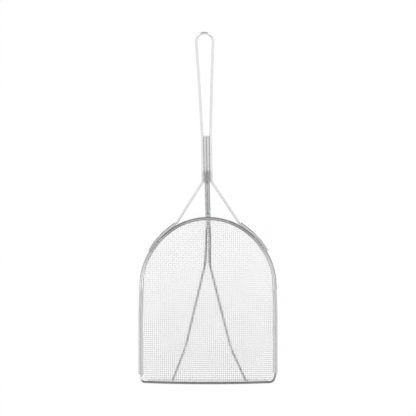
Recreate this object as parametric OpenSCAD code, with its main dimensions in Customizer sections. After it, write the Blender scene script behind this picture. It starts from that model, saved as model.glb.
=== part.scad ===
/* Wire scoop: a D-shaped dished net on a wire rim, with a bent-up wire handle.
   It rests on z = 0, the front bar is at the -y end, and the handle rises towards +y and +z.
   The sizes below are worked out with the front edge at y = 0; centred() then puts the
   middle of the part's length on the origin. */

/* [Overall] */
// Outside width of the net across the rim band
net_w = 150; // [110:1:190]
// Length of the net from the front bar to the top of the arch
net_len = 181; // [150:1:230]
// Length from the front bar to the end of the hanging loop, measured along the bent handle
total_len = 450; // [400:1:560]
// Depth of the dish below the rim
dish_depth = 20; // [12:0.5:28]
// Rise of the handle above the plane of the rim, in degrees
handle_angle = 43.5; // [30:0.5:55]

/* [Wire] */
// Diameter of the handle wire and of the two wires under the net
wire_d = 3; // [2.4:0.1:3.6]
// Diameter of the rim wire
rim_wire_d = 2.5; // [2:0.1:3]
// Outside diameter of the band rolled round the rim wire
band_d = 4.3; // [4:0.1:5.2]
// Thickness of the band's sheet
band_wall = 0.5; // [0.3:0.05:0.6]
// Height above the front edge at which the band stops
band_end = 12.6; // [12.2:0.1:20]

/* [Dish] */
// Width over which the net slopes down from the sides and the arch
slope_w = 38; // [25:1:50]
// Length of the ramp up to the front bar
ramp_len = 38; // [28:1:50]
// Outward bow of the front bar
front_bow = 1.4; // [0.6:0.1:3]
// Number of bars of the net that run from front to back
warp_count = 14; // [10:2:16]
// Number of bars of the net that run from side to side
weft_count = 16; // [12:1:17]
// Width of a bar of the net
bar_w = 0.74; // [0.5:0.02:1]

/* [Handle] */
// Outside width of the hanging loop
loop_w = 20.7; // [16:0.1:28]
// Distance up the handle from the kinks to the foot of the four-wire bundle
bundle_low = 61; // [45:1:80]
// Distance up the handle from the kinks to the cut tops of the two inner wires
bundle_high = 127.8; // [100:1:150]
// Length of the weld at the foot of the bundle
weld_len = 14; // [6:1:24]

/* [Hidden] */
$fn = 48;

steel = [0.72, 0.73, 0.74];
dark_steel = [0.45, 0.45, 0.46];
net_steel = [0.82, 0.83, 0.84];

// Radii, and the small clearance left between pieces that lie against each other
wr = wire_d / 2;
rw = rim_wire_d / 2;
rb = band_d / 2;
gap = 0.02;

// Straight pieces run this far into the bends, which are this much thinner, so that they join
lap = 0.05;
slim = 0.02;

// Heights: the under wires stand on z = 0 and the flat of the net lies just above them
warp_h = bar_w + 0.06;
weft_h = bar_w - 0.06;
net_flat = wire_d + warp_h / 2 + 0.1;
zr = net_flat + dish_depth;

// Plan of the rim's centre line: straight sides that lean in a little, and an arch of four arcs
hw = net_w / 2 - rb;
y_apex = net_len - rb;
arch_r = 0.932 * hw;
arch_y = y_apex - arch_r;
arch_v = arch_y + arch_r * sqrt(2);
lean = tan(1.9);
lean_y = arch_y - 0.452 * hw;
side_v_y = (arch_v - hw - lean_y * lean) / (1 - lean);
side_v_x = arch_v - side_v_y;
side_y = (arch_y - hw - lean_y * lean + arch_r * sqrt(1 + lean * lean)) / (1 - lean);
side_x = arch_y - side_y;

// Front bar: its ends turn in from the sides, and it bows outward between them
corner_in = 1.9;
corner_r = 5.5;
turn_y = 11;
corner_x = hw - corner_in;
bow_t = corner_x - 5.5;
bow_m = 2 * front_bow / bow_t;
bow_r = bow_t / bow_m;
bow_v = rw - bow_r * (1 / cos(atan(bow_m)) - 1);
corner_y = bow_v + bow_m * corner_x;

// Front ramp of the net, and the drop from it to the wires below
ramp_m = dish_depth / ramp_len;
ramp_a = atan(ramp_m);
ramp_soft = 0.2;
under_drop = (wr + warp_h / 2 * cos(ramp_a) + 0.16) / cos(ramp_a);

// Feet of the handle: an arc beside the band, which its low end meets at this angle above the
// rim's plane. The rim bulges out past the arch's circle there.
foot_y = arch_y - 0.5;
foot_a0 = 27.6;
foot_a1 = 52;
foot_lift = 60;
foot_bulge = from_rim(arch_r * cos(foot_a0), foot_y + arch_r * sin(foot_a0));
foot_r = arch_r + foot_bulge + (rb + wr) * cos(foot_lift);
foot_z = zr + (rb + wr) * sin(foot_lift);
kink_run = 13.2;
kink_x = foot_r * cos(foot_a1) - kink_run * sin(foot_a1);
kink_y = foot_y + foot_r * sin(foot_a1) + kink_run * cos(foot_a1);

// Handle plane: it starts at the kinks; x runs across it and s runs up it
inner_x = wr + gap;
leg_x = 3 * inner_x;
loop_a = loop_w / 2 - wr + 0.2;
loop_b = 1.379 * loop_a;
tip_r = 0.768 * loop_a;
flank_r = (loop_a * loop_a + pow(loop_b - tip_r, 2) - tip_r * tip_r) / (2 * (loop_a - tip_r));
flank_t = atan((loop_b - tip_r) / (flank_r - loop_a));
tip_s = total_len - kink_y - wr;
wide_s = tip_s - loop_b;
flank_s = wide_s + flank_r * tan(flank_t / 2);
tip_v_s = wide_s + loop_b - tip_r + tip_r / sin(flank_t);
spread_s = bundle_high + 0.52 * (wide_s - bundle_high);
spread_x = leg_x + 0.42 * (loop_a - leg_x);

// Path of the wires under the net, which end just behind the hem round the rim wire
hem_r = rw + 0.42;
rear_clear = rb + wr + 0.1;
rear_past = 4.5;
heel_lean = 25;
low_y = kink_y + bundle_low * cos(handle_angle);
low_z = foot_z + bundle_low * sin(handle_angle);
rear_reach = norm([low_y - y_apex, low_z - zr]);
rear_a = atan2(low_z - zr, low_y - y_apex) + asin(rear_clear / rear_reach);
touch_y = y_apex + rear_clear * sin(rear_a);
touch_z = zr - rear_clear * cos(rear_a);
rear_y = touch_y - rear_past * cos(rear_a);
rear_z = touch_z - rear_past * sin(rear_a);
heel_y = rear_y - (rear_z - wr) * tan(heel_lean);
split_y = 0.726 * y_apex;
split_x = 2.65;
toe_y = rw + (zr - under_drop - wr) / ramp_m;
toe_x = 0.337 * hw;
end_y = rw + hem_r - 0.62;
end_x = 0.546 * hw;
end_z = zr - ramp_m * (end_y - rw) - under_drop;

// Grid of the net, and the plan lines that part it into panels, each in the middle of a gap
function mid_gap(v, first, pitch) = first + (floor((v - first) / pitch) + 0.5) * pitch;
net_inset = rb - band_wall + 0.25;
net_front = 3.6;
warp_pitch = 2 * (hw - net_inset - 2.8) / (warp_count - 1);
weft_y0 = net_front + rw + 2.6;
weft_pitch = (y_apex - net_inset - 5.6 - weft_y0) / (weft_count - 1);
warps = [for (i = [0 : warp_count - 1]) (i - (warp_count - 1) / 2) * warp_pitch];
wefts = [for (j = [0 : weft_count - 1]) weft_y0 + j * weft_pitch];
flat_x = mid_gap(hw - slope_w, warps[0], warp_pitch);
rear_x = mid_gap(0.2 * hw, warps[0], warp_pitch);
ramp_y = mid_gap(rw + ramp_len, weft_y0, weft_pitch);
shoulder_y = mid_gap(side_y, weft_y0, weft_pitch);
rear_y0 = mid_gap(y_apex - slope_w, weft_y0, weft_pitch);

// Middle of the part's length, from the hem's lower front to the end of the loop
mid_y = (rw - hem_r + kink_y + tip_s * cos(handle_angle) + wr - slim) / 2;

// Direction helpers
function unit(v) = v / norm(v);
function turn_at(a, b, c) = acos(max(-1, min(1, unit(b - a) * unit(c - b))));
function reach_at(p, r, i) =
    (i <= 0 || i >= len(p) - 1) ? 0 : r[i] * tan(turn_at(p[i - 1], p[i], p[i + 1]) / 2);
function flip_x(p) = [for (q = p) [-q[0], q[1], q[2]]];
function flip_back(p) = [for (i = [len(p) - 1 : -1 : 0]) p[i]];

// A point of the handle plane
function on_handle(x, s) = [
    x,
    kink_y + s * cos(handle_angle),
    foot_z + s * sin(handle_angle)
];

// Distance in from the rim's centre line, in plan; it is negative outside the rim
function from_rim(x, y) =
    let (ax = abs(x))
    y - arch_y >= ax ? arch_r - norm([ax, y - arch_y])
    : y - side_y >= ax - side_x ? (arch_v - ax - y) / sqrt(2)
    : y > side_y ? arch_r - norm([ax - side_x, y - side_y])
    : hw - max(0, y - lean_y) * lean - ax;

// Centre line of the front bar
function bar_y(x) = rw + bow_r - sqrt(bow_r * bow_r - x * x);

// Height of the net's middle surface
function soft_ramp(t) =
    t <= 1 - ramp_soft ? t
    : t >= 1 + ramp_soft ? 1
    : t - pow(t - 1 + ramp_soft, 2) / (4 * ramp_soft);
function side_fall(d) = 1 - pow(1 - min(max(d, 0), slope_w) / slope_w, 2);
function net_z(x, y) =
    zr - dish_depth * side_fall(from_rim(x, y)) * soft_ramp(max(0, (y - rw) / ramp_len));

// Plan outline at a distance e inside the rim's centre line
function top_y(x, e) =
    let (ax = abs(x), r = arch_r - e)
    ax <= r / sqrt(2) ? arch_y + sqrt(r * r - ax * ax)
    : ax <= side_x + r / sqrt(2) ? arch_y + r * sqrt(2) - ax
    : side_y + sqrt(max(0, r * r - pow(ax - side_x, 2)));
function side_at(y, e) =
    let (r = arch_r - e)
    y <= turn_y ? hw - e - corner_in * (turn_y - y) / (turn_y - corner_y)
    : y <= lean_y ? hw - e
    : y <= side_y ? hw - (y - lean_y) * lean - e
    : y <= side_y + r / sqrt(2) ? side_x + sqrt(r * r - pow(y - side_y, 2))
    : y <= arch_y + r / sqrt(2) ? arch_y + r * sqrt(2) - y
    : sqrt(max(0, r * r - pow(y - arch_y, 2)));

module centred() {
    translate([0, -mid_y, 0])
        children();
}

// A straight piece of round wire from a to b
module straight(a, b, r) {
    d = b - a;
    z = unit(d);
    h = abs(z[2]) < 0.9 ? [0, 0, 1] : [1, 0, 0];
    x = unit(cross(h, z));
    y = cross(z, x);
    multmatrix([
        [x[0], y[0], z[0], a[0]],
        [x[1], y[1], z[1], a[1]],
        [x[2], y[2], z[2], a[2]],
        [0, 0, 0, 1]
    ])
        cylinder(h = norm(d), r = r);
}

// A bend of round wire at corner b, between a and c
module elbow(a, b, c, bend, r) {
    u = unit(b - a);
    v = unit(c - b);
    t = bend * tan(turn_at(a, b, c) / 2);
    n = unit(v - u * (u * v));
    o = b - u * t + n * bend;
    k = cross(u, n);
    multmatrix([
        [-n[0], u[0], k[0], o[0]],
        [-n[1], u[1], k[1], o[1]],
        [-n[2], u[2], k[2], o[2]],
        [0, 0, 0, 1]
    ])
        rotate_extrude(angle = turn_at(a, b, c), $fn = bend > 300 ? 720 : 96)
            translate([bend, 0])
                circle(r = r - slim, $fn = 32);
}

// Round wire along the points p with the bend radii q
module wire(p, q, r) {
    for (i = [0 : len(p) - 2]) {
        u = unit(p[i + 1] - p[i]);
        a = p[i] + u * (reach_at(p, q, i) - (i > 0 ? lap : 0));
        b = p[i + 1] - u * (reach_at(p, q, i + 1) - (i < len(p) - 2 ? lap : 0));
        if ((b - a) * u > 1.5 * lap)
            straight(a, b, r);
    }
    for (i = [1 : len(p) - 2])
        elbow(p[i - 1], p[i], p[i + 1], q[i], r);
}

// A rolled section along a level path that turns left; the section's x points out of the rim.
// The first child is the section of the straight pieces, the second that of the bends.
module rolled(p, q) {
    for (i = [0 : len(p) - 2]) {
        u = unit(p[i + 1] - p[i]);
        a = p[i] + u * (reach_at(p, q, i) - (i > 0 ? lap : 0));
        b = p[i + 1] - u * (reach_at(p, q, i + 1) - (i < len(p) - 2 ? lap : 0));
        if ((b - a) * u > 1.5 * lap)
            multmatrix([
                [u[1], 0, -u[0], b[0]],
                [-u[0], 0, -u[1], b[1]],
                [0, 1, 0, b[2]],
                [0, 0, 0, 1]
            ])
                linear_extrude(height = (b - a) * u)
                    children(0);
    }
    for (i = [1 : len(p) - 2]) {
        u = unit(p[i] - p[i - 1]);
        s = p[i] - u * reach_at(p, q, i);
        multmatrix([
            [u[1], u[0], 0, s[0] - u[1] * q[i]],
            [-u[0], u[1], 0, s[1] + u[0] * q[i]],
            [0, 0, 1, s[2]],
            [0, 0, 0, 1]
        ])
            rotate_extrude(angle = turn_at(p[i - 1], p[i], p[i + 1]), $fn = 96)
                translate([q[i], 0])
                    children(1);
    }
}

// An open ring section: outer and inner radius, and the angles between which it is open
module open_ring(r1, r2, a0, a1) {
    far = 3 * r1;
    mid = (a0 + a1) / 2;
    difference() {
        circle(r = r1);
        circle(r = r2);
        polygon([
            [0, 0],
            [far * cos(a0), far * sin(a0)],
            [far * cos(mid), far * sin(mid)],
            [far * cos(a1), far * sin(a1)]
        ]);
    }
}

// The upper part of the rim path, from one end of the band to the other
band_path = [
    [hw, band_end, zr],
    [hw, lean_y, zr],
    [side_v_x, side_v_y, zr],
    [0, arch_v, zr],
    [-side_v_x, side_v_y, zr],
    [-hw, lean_y, zr],
    [-hw, band_end, zr]
];
band_bends = [0, 300, arch_r, arch_r, arch_r, 300, 0];

module rim_wire() {
    low = [
        [-hw, turn_y, zr],
        [-corner_x, corner_y, zr],
        [0, bow_v, zr],
        [corner_x, corner_y, zr],
        [hw, turn_y, zr],
        [hw, lean_y - 30, zr]
    ];
    p = concat([[hw, lean_y - 30, zr]], [for (i = [1 : 5]) band_path[i]], low);
    q = concat([0], [for (i = [1 : 5]) band_bends[i]], [12, corner_r, bow_r, corner_r, 12, 0]);
    color(dark_steel) centred()
        wire(p, q, rw);
}

module rim_band() {
    color(steel) centred()
        rolled(band_path, band_bends) {
            open_ring(rb, rb - band_wall, 188, 256);
            open_ring(rb - slim, rb - band_wall + slim, 187, 257);
        }
}

// The doubled edge of the mesh, clamped between the rim wire and the band
module net_edge() {
    color(net_steel) centred()
        rolled(band_path, band_bends) {
            open_ring(rb - band_wall - gap, rw + gap, 230, 262);
            open_ring(rb - band_wall - gap - slim, rw + gap + slim, 229, 263);
        }
}

// The mesh edge folded under the front bar, with its tail on the ramp
module front_hem() {
    arc = 2 * atan((bow_t - 1) / bow_r);
    r1 = rw + gap;
    r2 = hem_r;
    tail = 3.5;
    color(net_steel) centred()
        translate([0, rw + bow_r, zr])
            rotate([0, 0, 270 - arc / 2])
                rotate_extrude(angle = arc, $fn = 720)
                    translate([bow_r, 0])
                        union() {
                            open_ring(r2, r1, -20, 200);
                            rotate(180 + ramp_a)
                                translate([rw + 0.15, 0])
                                    difference() {
                                        translate([0, -0.42])
                                            square([tail - rw - 0.15, 0.84]);
                                        translate([-rw - 0.15, 0])
                                            circle(r = r1);
                                    }
                        }
}

// One bar of the net through the middle points p; w points across it
module bar(p, w, h) {
    n = len(p);
    v = [0, 0, h / 2];
    pts = [for (q = p) each [q - w - v, q + w - v, q + w + v, q - w + v]];
    sides = [
        for (i = [0 : n - 2]) for (k = [0 : 3])
            [4 * i + k, 4 * i + (k + 1) % 4, 4 * i + 4 + (k + 1) % 4, 4 * i + 4 + k]
    ];
    ends = [[3, 2, 1, 0], [4 * n - 4, 4 * n - 3, 4 * n - 2, 4 * n - 1]];
    polyhedron(points = pts, faces = concat(sides, ends));
}

// The whole net: bars both ways on the dished surface, ending just short of the rim
module lattice() {
    for (x = warps) {
        a = bar_y(x) + net_front;
        b = top_y(x, net_inset);
        s = concat([a], [for (y = wefts) if (y > a + 0.6 && y < b - 0.6) y], [b]);
        bar([for (y = s) [x, y, net_z(x, y)]], [bar_w / 2, 0, 0], warp_h);
    }
    for (y = wefts) {
        b = side_at(y, net_inset);
        s = concat([-b], [for (x = warps) if (abs(x) < b - 0.6) x], [b]);
        bar([for (x = s) [x, y, net_z(x, y)]], [0, -bar_w / 2, 0], weft_h);
    }
}

// The part of the net between two plan corners. The net is one sheet; its panels meet face
// to face, and each is nearly flat, so that the dish stays open for contact.
module net_panel(x0, y0, x1, y1) {
    color(net_steel) centred()
        resize([0, 0, 0])
            intersection() {
                lattice();
                translate([x0, y0, -10])
                    cube([x1 - x0, y1 - y0, zr + 20]);
            }
}

module net_floor() {
    net_panel(-flat_x, ramp_y, flat_x, rear_y0);
}

module net_ramp() {
    net_panel(-flat_x, 0, flat_x, ramp_y);
}

module net_corner_left() {
    net_panel(-hw, 0, -flat_x, ramp_y);
}

module net_corner_right() {
    net_panel(flat_x, 0, hw, ramp_y);
}

module net_side_left() {
    net_panel(-hw, ramp_y, -flat_x, shoulder_y);
}

module net_side_right() {
    net_panel(flat_x, ramp_y, hw, shoulder_y);
}

module net_shoulder_left() {
    net_panel(-hw, shoulder_y, -flat_x, rear_y0);
}

module net_shoulder_right() {
    net_panel(flat_x, shoulder_y, hw, rear_y0);
}

module net_rear_left() {
    net_panel(-hw, rear_y0, -rear_x, y_apex);
}

module net_rear_middle() {
    net_panel(-rear_x, rear_y0, rear_x, y_apex);
}

module net_rear_right() {
    net_panel(rear_x, rear_y0, hw, y_apex);
}

// The hairpin: foot, kink, leg, bundle, loop and back again
module handle_wire() {
    foot_v = foot_r / cos((foot_a1 - foot_a0) / 2);
    foot_m = (foot_a0 + foot_a1) / 2;
    half = [
        [foot_r * cos(foot_a0), foot_y + foot_r * sin(foot_a0), foot_z],
        [foot_v * cos(foot_m), foot_y + foot_v * sin(foot_m), foot_z],
        [kink_x, kink_y, foot_z],
        on_handle(leg_x, bundle_low),
        on_handle(leg_x, bundle_high + 3),
        on_handle(spread_x, spread_s),
        on_handle(loop_a, flank_s)
    ];
    bends = [0, foot_r, 5, 8, 150, 400, flank_r * 0.95];
    p = concat(half, [on_handle(0, tip_v_s)], flip_back(flip_x(half)));
    q = concat(bends, [tip_r], flip_back(bends));
    color(steel) centred()
        wire(p, q, wr);
}

// One of the two wires that hang from the bundle and carry the net; side is 1 or -1
module under_wire(side) {
    p = [
        on_handle(inner_x, bundle_high),
        on_handle(inner_x, bundle_low),
        [inner_x, rear_y, rear_z],
        [inner_x, heel_y, wr],
        [split_x, split_y, wr],
        [toe_x, toe_y, wr],
        [end_x, end_y, end_z]
    ];
    q = [0, 10, 8, 6, 60, 25, 0];
    color(steel) centred()
        wire(side > 0 ? p : flip_x(p), q, wr);
}

module under_wire_left() {
    under_wire(-1);
}

module under_wire_right() {
    under_wire(1);
}

// Weld metal in the grooves between the four wires
module bundle_weld() {
    color(dark_steel) centred()
        translate([0, kink_y, foot_z])
            rotate([handle_angle, 0, 0])
                translate([0, bundle_low + 2, 0])
                    rotate([-90, 0, 0])
                        linear_extrude(height = weld_len)
                            difference() {
                                square([2 * leg_x, 2 * 0.9 * wr], center = true);
                                for (i = [-3, -1, 1, 3])
                                    translate([i * inner_x, 0])
                                        circle(r = wr + 2 * gap);
                            }
}

// A row of weld beads between a foot and the band, at the angles t up the foot's arc
module foot_weld(side) {
    bead = 0.8 * wr;
    color(dark_steel) centred()
        for (t = [foot_a0 + 2 : 3.3 : foot_a0 + 12]) {
            f = [foot_r * cos(t), foot_y + foot_r * sin(t), foot_z];
            o = [cos(t), sin(t), 0];
            u = [-sin(t), cos(t), 0];
            w = -from_rim(f[0], f[1]);
            c = [f[0] - o[0] * w, f[1] - o[1] * w, zr];
            d = unit(f - c);
            k = cross(u, d);
            m = c + d * (rb + (norm(f - c) - rb - wr) / 2);
            mirror([side > 0 ? 0 : 1, 0, 0])
                difference() {
                    union() {
                        translate(m + k * 0.95 * bead)
                            sphere(r = bead);
                        translate(m - k * 0.95 * bead)
                            sphere(r = bead);
                    }
                    straight(f - u * 6, f + u * 6, wr + 2 * gap);
                    straight(c - u * 6, c + u * 6, rb + 2 * gap);
                }
        }
}

module foot_weld_left() {
    foot_weld(-1);
}

module foot_weld_right() {
    foot_weld(1);
}

// Weld beads between the top of the arch and the two wires that pass under it
module rear_weld() {
    bead = 0.8 * wr;
    d = [0, sin(rear_a), -cos(rear_a)];
    k = [0, cos(rear_a), sin(rear_a)];
    color(dark_steel) centred()
        for (x = [-inner_x, inner_x]) {
            m = [x, y_apex, zr] + d * (rb + 0.05);
            f = [x, y_apex, zr] + d * rear_clear;
            difference() {
                translate(m + k * 0.95 * bead)
                    sphere(r = bead, $fn = 180);
                straight(f - k * 6, f + k * 6, wr + 2 * gap, $fn = 180);
                straight([-6, y_apex, zr], [6, y_apex, zr], rb + 2 * gap, $fn = 180);
            }
        }
}

// Weld bead between the end of an under wire and the front bar
module front_weld(side) {
    a = [toe_x, toe_y, wr];
    b = [end_x, end_y, end_z];
    u = unit(b - a);
    c = [end_x, bar_y(end_x), zr];
    color(dark_steel) centred()
        mirror([side > 0 ? 0 : 1, 0, 0])
            difference() {
                translate([end_x + 0.3, c[1] - 0.1, end_z + 0.35])
                    sphere(r = 1.1);
                straight(b - u * 6, b + u * 0.03, wr + 2 * gap);
                straight(c - [5, 0, 0], c + [5, 0, 0], hem_r + 3 * gap);
            }
}

module front_weld_left() {
    front_weld(-1);
}

module front_weld_right() {
    front_weld(1);
}

rim_wire();
rim_band();
net_edge();
net_floor();
net_ramp();
net_corner_left();
net_corner_right();
net_side_left();
net_side_right();
net_shoulder_left();
net_shoulder_right();
net_rear_left();
net_rear_middle();
net_rear_right();
front_hem();
handle_wire();
under_wire_left();
under_wire_right();
bundle_weld();
foot_weld_left();
foot_weld_right();
rear_weld();
front_weld_left();
front_weld_right();
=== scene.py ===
import math

import bpy
import numpy as np
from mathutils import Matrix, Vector

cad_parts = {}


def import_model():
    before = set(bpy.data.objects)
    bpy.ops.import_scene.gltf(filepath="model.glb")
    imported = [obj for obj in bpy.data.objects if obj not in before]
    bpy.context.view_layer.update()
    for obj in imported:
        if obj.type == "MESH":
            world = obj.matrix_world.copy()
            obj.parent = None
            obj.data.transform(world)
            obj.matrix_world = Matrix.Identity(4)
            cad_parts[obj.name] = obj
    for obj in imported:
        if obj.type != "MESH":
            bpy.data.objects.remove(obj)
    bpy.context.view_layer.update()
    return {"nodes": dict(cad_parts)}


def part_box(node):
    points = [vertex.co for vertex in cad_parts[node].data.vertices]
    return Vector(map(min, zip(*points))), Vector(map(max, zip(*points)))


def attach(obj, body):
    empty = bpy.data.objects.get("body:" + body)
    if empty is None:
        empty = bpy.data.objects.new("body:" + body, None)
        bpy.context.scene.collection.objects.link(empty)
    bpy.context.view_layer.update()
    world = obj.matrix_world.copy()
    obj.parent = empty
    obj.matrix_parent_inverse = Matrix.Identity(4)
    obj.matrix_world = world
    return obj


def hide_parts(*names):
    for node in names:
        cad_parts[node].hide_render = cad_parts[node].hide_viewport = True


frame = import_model()

# ---------------------------------------------------------------- sizes, in metres and degrees
MM = 0.001
NET_W, NET_LEN, TOTAL_LEN = 150 * MM, 181 * MM, 450 * MM
DISH_DEPTH, HANDLE_ANGLE = 20 * MM, 43.5
WIRE_R, RIM_R, BAND_R, BAND_WALL = 1.5 * MM, 1.25 * MM, 2.15 * MM, 0.5 * MM
BAND_END, SLOPE_W, RAMP_LEN, FRONT_BOW = 12.6 * MM, 38 * MM, 38 * MM, 1.15 * MM
LOOP_W, BUNDLE_LOW, BUNDLE_HIGH, WELD_LEN = 20.7 * MM, 61 * MM, 127.8 * MM, 14 * MM

# Weave: pitch of the wires that run front to back and side to side, their radius, how far they
# swing over and under each other, how far they stray, and how deep in the band they end
WARP_PITCH, WEFT_PITCH, MESH_R = 2.2 * MM, 2.16 * MM, 0.215 * MM
WEAVE, SLACK_WEAVE, MESH_END = 1.02 * MESH_R, 0.2 * MM, 1.15 * MM

# Heights: the under wires stand on z = 0 and the net lies just above them, with room for the
# bars that stand in for it in the solids
BAR_H, NET_GAP, RAMP_GAP = 0.8 * MM, 0.1 * MM, 0.16 * MM
NET_FLAT = 2 * WIRE_R + BAR_H / 2 + NET_GAP
RIM_Z = NET_FLAT + DISH_DEPTH

# Plan of the rim's centre line: sides that lean in a little, and an arch of three arcs
HALF_W = NET_W / 2 - BAND_R
APEX_Y = NET_LEN - BAND_R
ARCH_R = 0.932 * HALF_W
ARCH_Y = APEX_Y - ARCH_R
ARCH_V = ARCH_Y + ARCH_R * math.sqrt(2)
LEAN = math.tan(math.radians(1.9))
LEAN_Y = ARCH_Y - 0.452 * HALF_W
SIDE_V_Y = (ARCH_V - HALF_W - LEAN_Y * LEAN) / (1 - LEAN)
SIDE_V_X = ARCH_V - SIDE_V_Y
SIDE_Y = (ARCH_Y - HALF_W - LEAN_Y * LEAN + ARCH_R * math.hypot(1, LEAN)) / (1 - LEAN)
SIDE_X = ARCH_Y - SIDE_Y


def from_rim(x, y):
    """Distance in from the rim's centre line, in plan."""
    ax = np.abs(x)
    top = ARCH_R - np.hypot(ax, y - ARCH_Y)
    cut = (ARCH_V - ax - y) / math.sqrt(2)
    side = ARCH_R - np.hypot(ax - SIDE_X, y - SIDE_Y)
    low = HALF_W - np.maximum(0, y - LEAN_Y) * LEAN - ax
    upper = np.where(y - ARCH_Y >= ax, top, np.where(y - SIDE_Y >= ax - SIDE_X, cut, side))
    return np.where(y > SIDE_Y, upper, low)


# Front bar: its ends turn in from the sides, and it bows outward between them. The mesh keeps to
# the solids' corners, and the rim wire has its own at the left (-1) and the right (1).
CORNER_IN, CORNER_R, TURN_Y, TURN_R = 1.9 * MM, 5.5 * MM, 11 * MM, 8 * MM
SEEN_IN, SEEN_R = {-1: 1.25 * MM, 1: 2.3 * MM}, {-1: 4 * MM, 1: 5.3 * MM}
CORNER_X = HALF_W - CORNER_IN
BOW_T = CORNER_X - CORNER_R
BOW_M = 2 * FRONT_BOW / BOW_T
BOW_R = BOW_T / BOW_M
BOW_V = RIM_R - BOW_R * (1 / math.cos(math.atan(BOW_M)) - 1)
CORNER_Y = BOW_V + BOW_M * CORNER_X

# Front ramp of the net, and the drop from it to the wires below
RAMP_M = DISH_DEPTH / RAMP_LEN
RAMP_A = math.atan(RAMP_M)
RAMP_SOFT = 0.2
UNDER_DROP = (WIRE_R + BAR_H / 2 * math.cos(RAMP_A) + RAMP_GAP) / math.cos(RAMP_A)

# Feet of the handle: an arc beside the band, which its low end meets at the lift angle above
# the rim's plane, and the kink at its end. The rim bulges out past the arch's circle there.
FOOT_A0, FOOT_A1, FOOT_LIFT = math.radians(27.6), math.radians(52), math.radians(60)
FOOT_Y, KINK_RUN = ARCH_Y - 0.5 * MM, 13.2 * MM
FOOT_BULGE = float(from_rim(ARCH_R * math.cos(FOOT_A0), FOOT_Y + ARCH_R * math.sin(FOOT_A0)))
FOOT_R = ARCH_R + FOOT_BULGE + (BAND_R + WIRE_R) * math.cos(FOOT_LIFT)
FOOT_Z = RIM_Z + (BAND_R + WIRE_R) * math.sin(FOOT_LIFT)
KINK_X = FOOT_R * math.cos(FOOT_A1) - KINK_RUN * math.sin(FOOT_A1)
KINK_Y = FOOT_Y + FOOT_R * math.sin(FOOT_A1) + KINK_RUN * math.cos(FOOT_A1)

# Handle plane: x runs across it and s runs up it from the kinks. The loop's end is three arcs
# close to half an ellipse, and its stems spread evenly on the way to it.
RISE = math.radians(HANDLE_ANGLE)
SIDE_GAP, LOOP_SWELL, LOOP_LONG, LOOP_TIP = 0.02 * MM, 0.2 * MM, 1.379, 0.768
SPREAD_AT, SPREAD_BY = 0.52, 0.42
KINK_BEND, BUNDLE_BEND, STEM_BEND, SPREAD_BEND, FLANK_SHARE = 5 * MM, 8 * MM, 150 * MM, 400 * MM, 0.95
INNER_X = WIRE_R + SIDE_GAP
LEG_X = 3 * INNER_X
LOOP_A = LOOP_W / 2 - WIRE_R + LOOP_SWELL
LOOP_B = LOOP_LONG * LOOP_A
TIP_R = LOOP_TIP * LOOP_A
FLANK_R = (LOOP_A ** 2 + (LOOP_B - TIP_R) ** 2 - TIP_R ** 2) / (2 * (LOOP_A - TIP_R))
FLANK_T = math.atan((LOOP_B - TIP_R) / (FLANK_R - LOOP_A))
TIP_S = TOTAL_LEN - KINK_Y - WIRE_R
WIDE_S = TIP_S - LOOP_B
FLANK_S = WIDE_S + FLANK_R * math.tan(FLANK_T / 2)
TIP_V_S = WIDE_S + LOOP_B - TIP_R + TIP_R / math.sin(FLANK_T)
SPREAD_S = BUNDLE_HIGH + SPREAD_AT * (WIDE_S - BUNDLE_HIGH)
SPREAD_X = LEG_X + SPREAD_BY * (LOOP_A - LEG_X)

# Path of the wires under the net: down behind the band (rear), to the floor (heel), apart
# (split), up the ramp (toe) and to their ends just behind the hem round the rim wire
HEM_OUT, HEM_BEHIND, REAR_GAP, REAR_PAST = 0.42 * MM, 0.62 * MM, 0.1 * MM, 4.5 * MM
HEEL_LEAN = math.radians(25)
HEM_R = RIM_R + HEM_OUT
REAR_CLEAR = BAND_R + WIRE_R + REAR_GAP
LOW_Y = KINK_Y + BUNDLE_LOW * math.cos(RISE)
LOW_Z = FOOT_Z + BUNDLE_LOW * math.sin(RISE)
REAR_REACH = math.hypot(LOW_Y - APEX_Y, LOW_Z - RIM_Z)
REAR_A = math.atan2(LOW_Z - RIM_Z, LOW_Y - APEX_Y) + math.asin(REAR_CLEAR / REAR_REACH)
REAR_Y = APEX_Y + REAR_CLEAR * math.sin(REAR_A) - REAR_PAST * math.cos(REAR_A)
REAR_Z = RIM_Z - REAR_CLEAR * math.cos(REAR_A) - REAR_PAST * math.sin(REAR_A)
HEEL_Y = REAR_Y - (REAR_Z - WIRE_R) * math.tan(HEEL_LEAN)
SPLIT_X, SPLIT_Y = 2.65 * MM, 0.726 * APEX_Y
TOE_X, TOE_Y = 0.337 * HALF_W, RIM_R + (RIM_Z - UNDER_DROP - WIRE_R) / RAMP_M
END_X, END_Y = 0.546 * HALF_W, RIM_R + HEM_R - HEM_BEHIND
END_Z = RIM_Z - RAMP_M * (END_Y - RIM_R) - UNDER_DROP
LOW_BEND, REAR_BEND, HEEL_BEND, SPLIT_BEND, TOE_BEND = 10 * MM, 8 * MM, 6 * MM, 28 * MM, 25 * MM

# The slack of hand bending, which only the looks have: how far left each wire (-1 is the left
# one) lies at its split, its toe and its heel, how far right at its end, how much lower both
# start, how much sooner they stop, and how far out the right foot's end lies
SPLIT_SLACK, TOE_SLACK = {-1: 0.85 * MM, 1: 1.3 * MM}, {-1: 0.4 * MM, 1: 0.35 * MM}
HEEL_SLACK, TIP_SLACK = 0.2 * MM, {-1: 0.9 * MM, 1: 1.4 * MM}
TOP_SLACK, END_SLACK, FOOT_SLACK = 1.4 * MM, 2.2 * MM, 0.7 * MM
TIP_LEAN = 0.4
TIP_X, TIP_Y = END_X - END_SLACK * TIP_LEAN, END_Y + END_SLACK
TIP_Z = END_Z - RAMP_M * END_SLACK

# The sizes above have the front edge at y = 0; the frame says how far back the part really lies
SHIFT_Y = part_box("front_hem")[0].y - (RIM_R - HEM_R)


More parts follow.
